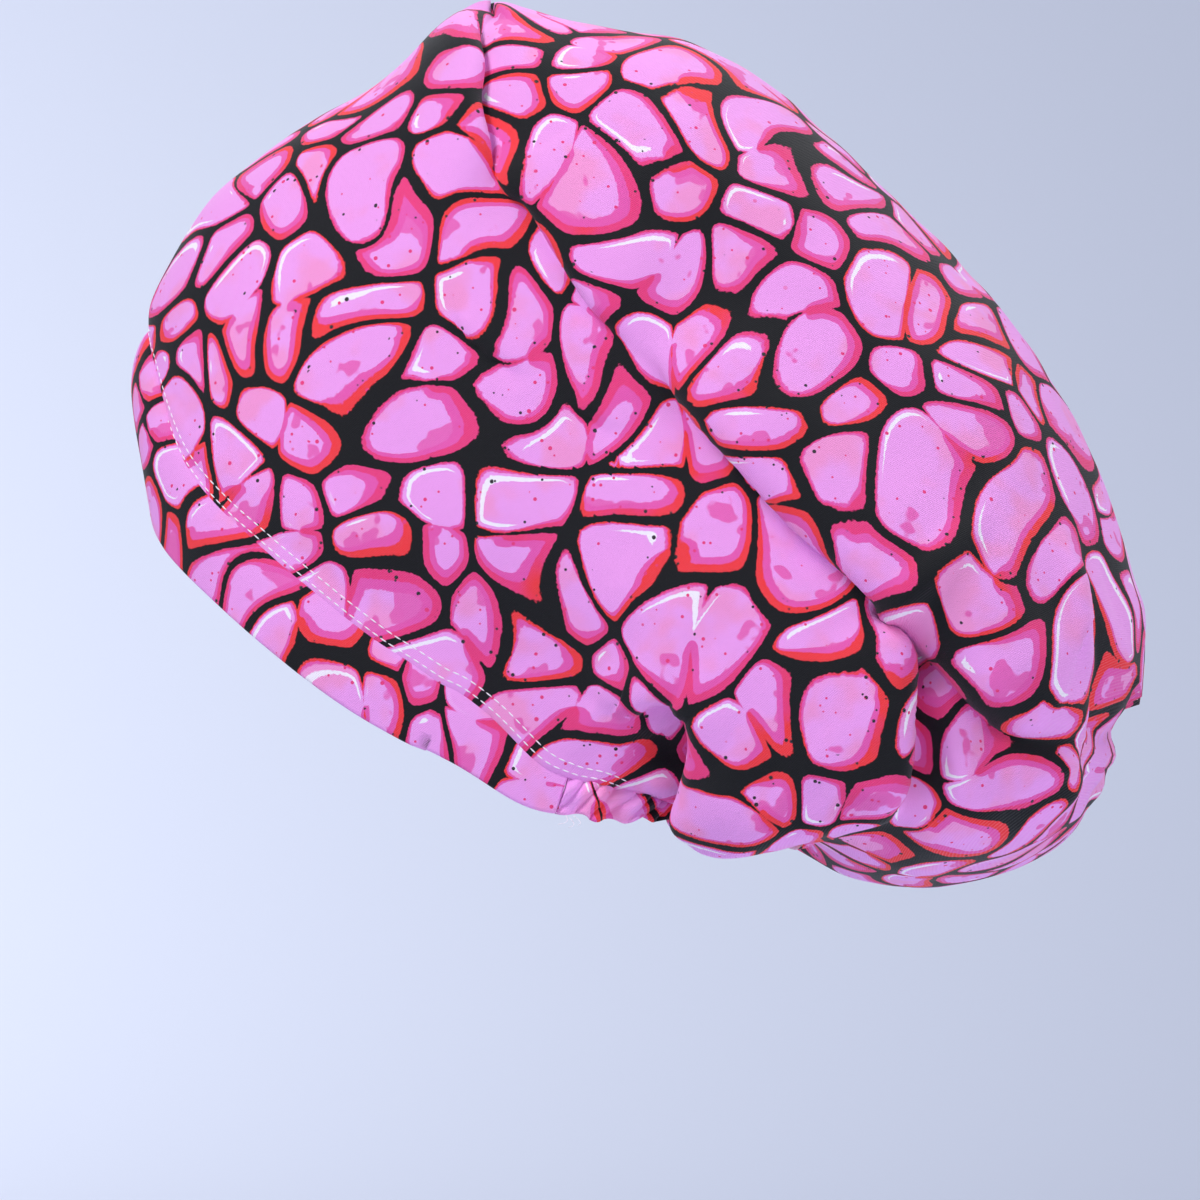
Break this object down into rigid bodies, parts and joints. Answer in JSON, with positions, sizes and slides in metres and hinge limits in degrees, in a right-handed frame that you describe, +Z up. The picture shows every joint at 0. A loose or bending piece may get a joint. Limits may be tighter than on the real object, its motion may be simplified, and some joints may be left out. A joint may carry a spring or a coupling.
{
  "type": "scrub cap",
  "caption": "Bouffant scrub cap of printed pink cotton twill with a folded front band and a gathered nape casing, as worn.",
  "frame": {"origin": "centre of the ring in which the front band and the nape casing grip the wearer's head", "axes": "the wearer faces -Y, the wearer's left is +X, +Z is up"},
  "size_m": [0.237, 0.3349, 0.292],
  "materials": {
    "printed_twill": "matt cotton twill printed in pink, lilac, red and black"
  },
  "bodies": {
    "root": {"crown": "printed_twill", "front_band": "printed_twill", "nape_casing": "printed_twill"}
  },
  "joints": []
}
